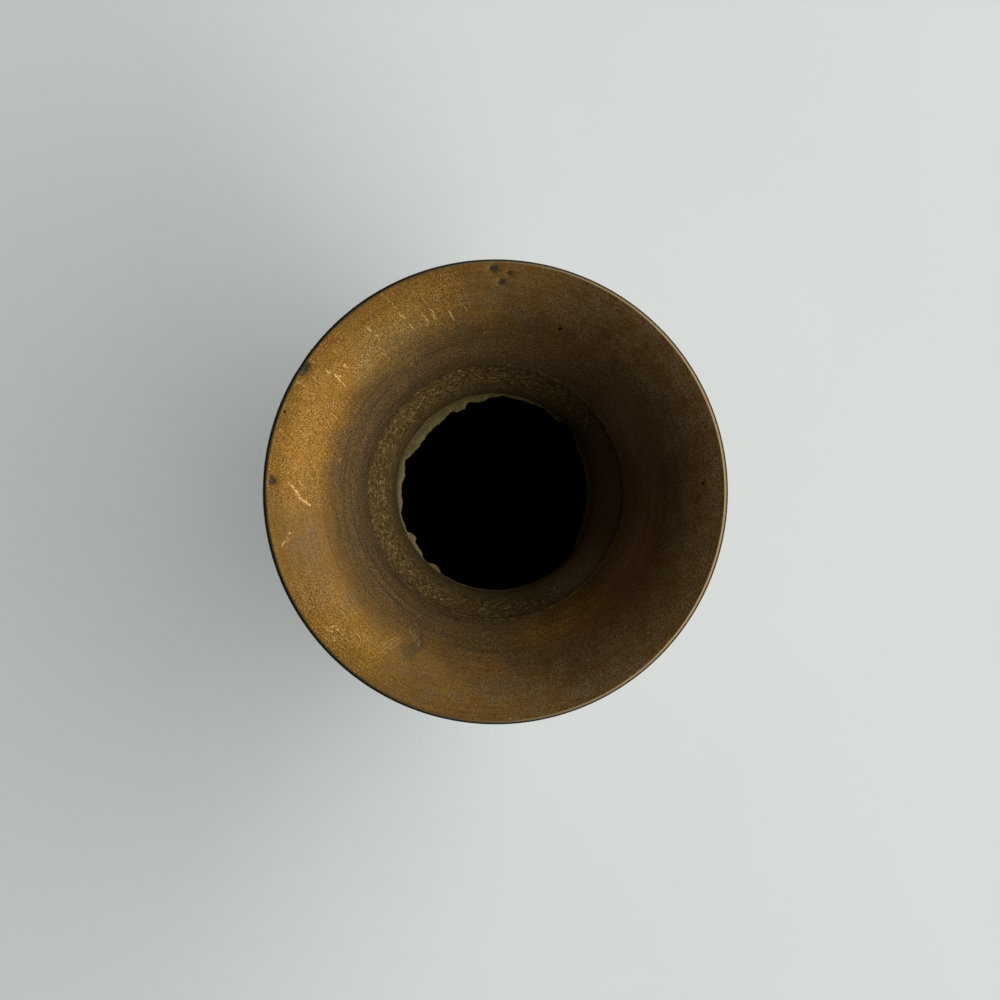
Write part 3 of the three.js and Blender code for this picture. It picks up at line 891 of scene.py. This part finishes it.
satin_brass, tree = new_finish("satin_brass")
at = turned_places(tree)
sockets = {"Vector": at.place, "Scale": 1 / STAIN_SIZE, "Detail": 6, "Roughness": 0.62}
clouds = add(tree, "TexNoise", sockets)
grain = add(tree, "TexNoise", {"Vector": at.place, "Scale": 1 / SATIN_GRAIN, "Detail": 2, "Roughness": 0.8})
lines = lathe_lines(tree, at.height, at.direction, SATIN_PITCH, share=0.4)
brown = add(tree, "MapRange", {"Value": clouds, "From Min": 0.36, "From Max": 0.68})
metal = layered(tree, linear("#a07832"), [(brown, "#705532")])
sandy = add(tree, "MapRange", {"Value": grain, **NOISE_SPAN, "To Min": 0.7, "To Max": 1.25})
lined = add(tree, "MapRange", {"Value": lines, **NOISE_SPAN, "To Min": 0.84, "To Max": 1.12})
shade = add(tree, "Math", {0: sandy, 1: lined}, operation="MULTIPLY")
sockets = {"Factor": 1, "A": metal, "B": shade}
metal = add(tree, "Mix", sockets, data_type="RGBA", blend_type="MULTIPLY")
edge = add(tree, "Attribute", attribute_name="edge").outputs["Fac"]
uneven = add(tree, "Math", {0: edge, 1: clouds}, operation="MULTIPLY")
rubbed = add(tree, "MapRange", {"Value": uneven, "From Min": 0.12, "From Max": 0.5, "To Max": 0.8})
hollow = add(tree, "Attribute", attribute_name="hollow").outputs["Fac"]
dirt = add(tree, "MapRange", {"Value": hollow, "From Min": 0.08, "From Max": 0.6, "To Max": 0.85})
metal = layered(tree, metal, [(rubbed, "#d2ad62"), (dirt, "#2b2114")])
# Fresh satin brass is about 0.3 rough, and years of handling make it rougher
gloss = add(tree, "MapRange", {"Value": grain, **NOISE_SPAN, "To Min": 0.34, "To Max": 0.52})
relief = add(tree, "Math", {0: grain, 1: lines}, operation="ADD")
bump = add(tree, "Bump", {"Strength": 0.3, "Distance": 0.04 * MM, "Height": relief})
sockets = {"Base Color": metal, "Metallic": 0.95, "Roughness": gloss, "Normal": bump}
add(tree, "OutputMaterial", {"Surface": add(tree, "BsdfPrincipled", sockets)})
print("satin brass has", len(tree.nodes), "nodes")

# %% Tarnished brass, darkened in part as painted shade
TARNISH_SIZE = 8 * MM
TIDE_PITCH = 9 * MM  # old water marks

tarnished_shaded_brass, tree = new_finish("tarnished_shaded_brass")
at = turned_places(tree)
sockets = {"Vector": at.place, "Scale": 1 / TARNISH_SIZE, "Detail": 5, "Roughness": 0.65}
clouds = add(tree, "TexNoise", sockets)
tide = lathe_lines(tree, at.height, at.direction, TIDE_PITCH, share=0.8)
marked = add(tree, "Math", {0: clouds, 1: tide}, operation="MULTIPLY")
share = add(tree, "MapRange", {"Value": marked, "From Min": 0.15, "From Max": 0.42})
# Partly painted shade: the tarnish is near black so that the inside of the body stays dark
metal = layered(tree, linear("#191a1c"), [(share, "#282622")])
bump = add(tree, "Bump", {"Strength": 0.4, "Distance": 0.2 * MM, "Height": clouds})
# Tarnish is a matt crust on the metal, so it is not metallic and hardly mirrors
sockets = {"Base Color": metal, "Roughness": 0.85, "Specular IOR Level": 0.1, "Normal": bump}
add(tree, "OutputMaterial", {"Surface": add(tree, "BsdfPrincipled", sockets)})
print("tarnished brass has", len(tree.nodes), "nodes")

# %% [markdown]
# ## Soft solder
# Soft solder is tin and lead. It melts long before brass does, runs into the gap of a joint and sets with a
# dull grey skin, which flux and age turn to cream and green. The eye gets a barely glossy, frosted crust
# with dark pores. Old grimy seams have the same build in darker colours, so one function makes both.

# %% Soft solder
FROST_SIZE = 0.45 * MM  # real frost is finer, but would not show
FLUX_STAIN_SIZE = 2.2 * MM
FLUX_FROM, FLUX_FULL = 26.4 * MM, 28.4 * MM  # flux stayed near the wall
FRESH_SIDE = compass(195)  # where the solder broke away and shows paler metal


def make_solder(name, old, stained, dark, fresh, dark_wall):
    """Solder in the colours of its old skin, stains, pores, a fresh break and its root by the wall."""
    finish, tree = new_finish(name)
    at = turned_places(tree)
    sockets = {"Vector": at.place, "Scale": 1 / FROST_SIZE, "Detail": 3, "Roughness": 0.7}
    frost = add(tree, "TexNoise", sockets)
    stain = add(tree, "TexNoise", {"Vector": at.place, "Scale": 1 / FLUX_STAIN_SIZE, "Detail": 3})
    share = add(tree, "MapRange", {"Value": stain, "From Min": 0.38, "From Max": 0.62})
    edge = add(tree, "Attribute", attribute_name="edge").outputs["Fac"]
    ragged = add(tree, "Math", {0: stain, 1: 0.8, 2: edge}, operation="MULTIPLY_ADD")
    root = add(tree, "MapRange", {"Value": ragged, "From Min": 1.1, "From Max": 0.5, "To Max": 0.2})
    nose = add(tree, "MapRange", {"Value": ragged, "From Min": 1.3, "From Max": 1.42, "To Max": 0.1})
    side = add(tree, "VectorMath", {0: at.direction, 1: FRESH_SIDE}, operation="DOT_PRODUCT")
    on_side = add(tree, "MapRange", {"Value": side, "From Min": 0.82, "From Max": 0.95, "To Max": 0.85})
    uneven = add(tree, "Math", {0: stain, 1: 2 * MM, 2: at.radius}, operation="MULTIPLY_ADD")
    sockets = {"Value": uneven, "From Min": FLUX_FROM, "From Max": FLUX_FULL, "To Max": 0.35}
    flux = add(tree, "MapRange", sockets)
    pores = add(tree, "MapRange", {"Value": frost, "From Min": 0.56, "From Max": 0.36, "To Max": 0.8})
    films = [(share, stained), (root, dark_wall), (on_side, fresh), (flux, stained), (nose, fresh)]
    metal = layered(tree, linear(old), [*films, (pores, dark)])
    bump = add(tree, "Bump", {"Strength": 0.6, "Distance": 0.12 * MM, "Height": frost})
    # Under its oxide the solder is only partly metallic, and dull
    sockets = {"Base Color": metal, "Metallic": 0.4, "Roughness": 0.62, "Normal": bump}
    add(tree, "OutputMaterial", {"Surface": add(tree, "BsdfPrincipled", sockets)})
    print(name, "has", len(tree.nodes), "nodes")
    return finish


pale_solder = make_solder("pale_solder", "#7f6f3d", "#6a5c35", "#3a2f19", "#857454", "#54462a")
grimy_solder = make_solder("grimy_solder", "#352811", "#2a1e0c", "#140e06", "#352811", "#2a1e0c")

# %% [markdown]
# ## The trumpet mouth
# One casting, turned inside and out, with a bevelled lip. We could shape it with a subdivision surface, but
# the solid's own outline is exact, so the mouth is that outline, swept fine. The pits are real dents in the
# mesh. Down in the throat the tool chattered, so the wall there has real grooves.

# %% Mouth
MOUTH_COLUMNS = 396
PIT_DEPTH = 0.12  # as a share of the pit's width
GROOVE_DEPTH = 0.1 * MM
GROOVE_PITCH = 1.6 * MM
GROOVE_TURN = 0.5  # radians that a groove lasts
UNDER_LIP = -0.25  # normals that point down more than this belong to the outside


def flare_relief(turn, radius, height):
    """Uneven grooves towards the throat, and a dent at each pit and spot."""
    in_throat = np.clip((FLARE_BEND - radius) / (FLARE_BEND - THROAT_RADIUS), 0.1, 1)
    relief = GROOVE_DEPTH * in_throat * rough(turn, height, GROOVE_TURN, GROOVE_PITCH, 2)
    x, y = radius * np.cos(turn), radius * np.sin(turn)
    for pit_x, pit_y, _, _, width in DARK_PITS + GREEN_SPOTS:
        apart = np.hypot(x - pit_x * MM, y - pit_y * MM) / (width * MM / 2)
        relief = relief - PIT_DEPTH * width * MM * np.exp(-(apart**2))
    return relief


def seen_from_above(rows, normals):
    """True on the flare's inside and over its lip."""
    return normals[:, 1] > UNDER_LIP


finishes = [satin_brass, turned_brass]
turned_piece("mouth_flare", finishes, MOUTH_SPACING, MOUTH_COLUMNS, flare_relief, seen_from_above, MOUTH_EASE)

# %% [markdown]
# ## The neck collar
# The collar joins the mouth to the belly. Outside it has a half-round bead. Its bore is as it was cast. A
# displace modifier would move the outside too, so the noise moves only the bore's rows, by a few tenths of
# a millimetre: strongly in a band under the flare, where the sand stuck, and less below.

# %% Neck collar
COLLAR_COLUMNS = 480
SAND_SIZE = 0.55 * MM  # coarser than real sand, so that the mesh can hold the grains
SAND_TURN = 0.03  # the same round the bore, in radians
SAND_HEIGHT = 0.22 * MM
GRAIN_FROM, GRAIN_RISE = 6 * MM, 8 * MM  # starts above the collar's foot, and full after a rise
CALM_SHARE = 0.15  # what is left of it lower down
LEDGE_RADIUS = 35.5 * MM  # nothing further out belongs to the bore
FACES_UP = 0.3  # normals that point up more than this are ledges and floors


def bore_relief(turn, radius, height):
    """Grains of the casting sand, drawn out a little round the bore and fading towards its lower edge."""
    in_band = np.clip((height - collar_low - GRAIN_FROM) / GRAIN_RISE, CALM_SHARE, 1)
    return SAND_HEIGHT * in_band * rough(turn, height, SAND_TURN, SAND_SIZE, 4)


def hollow_inside(rows, normals):
    """True on a wall and a floor inside."""
    return faces_axis(rows, normals) | (normals[:, 1] > FACES_UP)


def bore(rows, normals):
    """True on the bore and on the narrow ledge above it."""
    return (rows[:, 0] < LEDGE_RADIUS) & hollow_inside(rows, normals)


finishes = [satin_brass, cast_brass]
turned_piece("neck_collar", finishes, 0.4 * MM, COLLAR_COLUMNS, bore_relief, bore, ease=0.2 * MM)

# %% [markdown]
# ## Solder in the throat
# The seam under the collar is the most telling thing in the vase. The solder ran through and set as a thin
# ragged film round the bore: broad at the back left, with broken teeth at the front left. It could be
# sculpted, but the solid already says how far it reached at each step of the turn. We read that, fray it
# with noise, and make each cross-section a flat half-ellipse that starts at the bore's wall.

# %% Throat solder
SOLDER_COLUMNS = 720
SWING_STEPS = 13  # points on each half-ellipse
FULLNESS = 0.8  # below 1 the half-ellipse is blunter
FRAY, FRAY_TURN = 0.15 * MM, 0.06  # how far the edge frays, and over how many radians
LUMP_SHARE, LUMP_TURN = 0.3, 0.04  # how much thinner the film gets in places, and their size in radians
LEAST_REACH = 0.1 * MM


def solder_reach(wall, level, turn):
    """How far the solid reaches inside a wall at a level, at each step of the turn."""
    points = (v.co for v in frame["nodes"]["throat_solder"].data.vertices)
    points = [p for p in points if abs(p.z - level) < SAME_PLACE]
    nose = sorted((math.atan2(p.y, p.x) % (2 * math.pi), wall - math.hypot(p.x, p.y)) for p in points)
    return np.interp(turn, *zip(*nose), period=2 * math.pi)


def throat_ring():
    """The throat's seam: a square root in the joint and a ragged half-ellipse that shows."""
    section = half_section("throat_solder")
    outer, low, high = section[:, 0].max(), section[:, 1].min(), section[:, 1].max()
    wall = np.sort(section[:, 0])[2]  # in order: the nose, the wall twice, the root twice
    middle, half = (low + high) / 2, (high - low) / 2
    turn = np.linspace(0, 2 * math.pi, SOLDER_COLUMNS, endpoint=False)[:, None]
    swing = np.linspace(0, math.pi, SWING_STEPS)
    reach = solder_reach(wall, middle, turn)
    fray = FRAY * rough(turn, turn * 0, FRAY_TURN, MM, 4) * (0.4 + reach / MM)
    reach = np.clip(reach + fray, LEAST_REACH, None)
    lumps = LUMP_SHARE * np.abs(rough(turn, swing * MM, LUMP_TURN, MM, 3)) * np.sin(swing)
    radius = wall - reach * np.sin(swing) ** FULLNESS
    height = middle + half * np.cos(swing) * (1 - lumps)
    root = np.ones_like(turn)
    radius = np.hstack([outer * root, outer * root, radius])
    height = np.hstack([low * root, high * root, height])
    mesh = sweep("throat_solder", radius, height, True)
    reached = np.tile(np.concatenate([[0, 0], np.sin(swing)]), SOLDER_COLUMNS)
    mesh.attributes.new("edge", "FLOAT", "POINT").data.foreach_set("value", reached)
    return mesh


dress("throat_solder", throat_ring(), [pale_solder])

# %% [markdown]
# ## The seam under the flare
# The joint between mouth and collar is filled nearly flush, so that it hardly shows, and on the bore it has
# the same rough skin. On the lit side the solder shrank back as it set and left a thin dark line. A dark
# line could be painted there, but a real gap keeps its shadow under any light, so the gap is real; a painted
# shade just under the seam, strongest on the left, still deepens it.

# %% Mouth seam
SEAM_FILL = 0.38 * MM
SEAM_SLOPE = 0.26 * MM
SEAM_ROUGHNESS, SEAM_TURN = 0.15, 0.1  # how uneven the fill is, and over how many radians
SHRUNK_MIDDLE = math.radians(147)
SHRUNK_HALF = math.radians(45)
SHRUNK_FADE = 0.2  # radians
BODY_COLUMNS = 240


def seam_relief(turn, radius, height):
    """Solder that fills the joint and slopes onto the bore, except where it shrank back."""
    low, high = (corner.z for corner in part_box("mouth_solder"))
    fill = SEAM_FILL + SEAM_SLOPE * (high - height) / (high - low)
    apart = np.abs((turn - SHRUNK_MIDDLE + math.pi) % (2 * math.pi) - math.pi)
    full = np.clip((apart - SHRUNK_HALF) / SHRUNK_FADE, 0, 1)
    return fill * full * (1 + SEAM_ROUGHNESS * rough(turn, height, SEAM_TURN, MM, 3))


turned_piece("mouth_solder", [grimy_solder, cast_brass], 0.3 * MM, BODY_COLUMNS, seam_relief)

# %% [markdown]
# ## Belly, foot and their seams
# The rest is plain turning: two halves of the belly, the foot, and the neat seams that hold them. The
# outlines of the solids are enough for these, without any relief. They take the satin finish outside and
# the tarnish inside.

# %% Belly, foot and seams
insides = {"shoulder_shell": faces_axis, "bowl_shell": hollow_inside, "foot_pedestal": faces_axis}
for node, inner in insides.items():
    turned_piece(node, [satin_brass, tarnished_shaded_brass], 1.2 * MM, BODY_COLUMNS, inner=inner)
for node, look in (("belly_solder", grimy_solder), ("foot_solder", pale_solder)):
    turned_piece(node, [look, look], 0.4 * MM, BODY_COLUMNS)

# %% [markdown]
# ## Floor
# The vase stands on a pale matt floor, like studio paper. A flat plane would show its edge in some views,
# so the floor is a wide dish that curves up far away. Its wall is greyer, because the brass mirrors it.

# %% Pale floor
FLOOR_REACH, WALL_RISE, FLOOR_CURVE = 3.3, 0.95, 0.8  # metres
FLAT_RINGS = [1.2, 0.4, 0]
CURVE_STEPS, FLOOR_COLUMNS = 12, 96
GREY_HEIGHT = 0.3  # the wall is full grey from here
PAPER_CLOUDS = 90 * MM

pale_floor, tree = new_finish("pale_floor")
at = turned_places(tree)
clouds = add(tree, "TexNoise", {"Vector": at.place, "Scale": 1 / PAPER_CLOUDS, "Detail": 3})
on_wall = add(tree, "MapRange", {"Value": at.height, "From Max": GREY_HEIGHT})
paper = layered(tree, linear("#e3e9e8"), [(clouds, "#e8eeed"), (on_wall, "#8f9594")])
shader = add(tree, "BsdfPrincipled", {"Base Color": paper, "Roughness": 0.9})
add(tree, "OutputMaterial", {"Surface": shader})
bend = np.linspace(math.pi / 2, 0, CURVE_STEPS)
reach = np.concatenate([[FLOOR_REACH], FLOOR_REACH - FLOOR_CURVE * (1 - np.sin(bend)), FLAT_RINGS])
rise = np.concatenate([[WALL_RISE], FLOOR_CURVE * (1 - np.cos(bend)), np.zeros(len(FLAT_RINGS))])
mesh = sweep("pale_floor", *(np.tile(values, (FLOOR_COLUMNS, 1)) for values in (reach, rise)), False)
mesh.materials.append(pale_floor)
floor = bpy.data.objects.new("pale_floor", mesh)
bpy.context.scene.collection.objects.link(floor)
print("floor:", 2 * FLOOR_REACH, "m across")

# %% [markdown]
# ## Light
# One wide soft window stands to the right, about forty degrees up, and a dim sky fills the shadows. Three
# small lamps would light the vase as well, but each would leave its own highlight, and satin brass looks
# calm under one broad light.

# %% Window and sky
WINDOW_AIM = Vector((0, 0, 0.15))
SKY_STRENGTH = 0.03


def make_window(turn, lift, distance, size, power):
    """A rectangular lamp that faces the vase from a direction and height in degrees."""
    lamp = bpy.data.lights.new("window", "AREA")
    lamp.shape = "RECTANGLE"
    lamp.size, lamp.size_y = size
    lamp.energy = power
    window = bpy.data.objects.new("window", lamp)
    turn, lift = math.radians(turn), math.radians(lift)
    level = math.cos(lift)
    away = Vector((math.cos(turn) * level, math.sin(turn) * level, math.sin(lift)))
    window.location = WINDOW_AIM + distance * away
    window.rotation_euler = (-away).to_track_quat("-Z", "Y").to_euler()
    bpy.context.scene.collection.objects.link(window)
    print("window at", [round(part, 2) for part in window.location])


make_window(turn=0, lift=38, distance=3.4, size=(10.7, 2.95), power=342)
sky = bpy.data.worlds.new("dim_sky")
sky.use_nodes = True
background = sky.node_tree.nodes["Background"]
background.inputs["Color"].default_value = linear("#e4e8e8")
background.inputs["Strength"].default_value = SKY_STRENGTH
bpy.context.scene.world = sky

# %% [markdown]
# ## Camera
# The camera looks straight down from 700 mm above the lip, a hair off the axis. Any lens could be made to
# fit by moving the camera, but the distance decides how far down the throat is seen. So the distance is set
# first, and the lens follows from a frame about 258 mm wide at the lip. Image right is +X and image top is
# +Y.

# %% Camera
CAMERA_ABOVE_LIP = 700 * MM
FRAME_AT_LIP = 257.5 * MM
CAMERA_OFF_AXIS = (1.2 * MM, -2.1 * MM)
SENSOR_WIDTH = 36

camera = bpy.data.objects.new("camera", bpy.data.cameras.new("camera"))
camera.data.sensor_width = SENSOR_WIDTH
camera.data.lens = SENSOR_WIDTH * CAMERA_ABOVE_LIP / FRAME_AT_LIP
camera.location = (*CAMERA_OFF_AXIS, cad_box[1].z + CAMERA_ABOVE_LIP)
bpy.context.scene.collection.objects.link(camera)
bpy.context.scene.camera = camera
bpy.context.scene.view_settings.view_transform = "Standard"
print("camera:", round(camera.data.lens, 1), "mm lens")
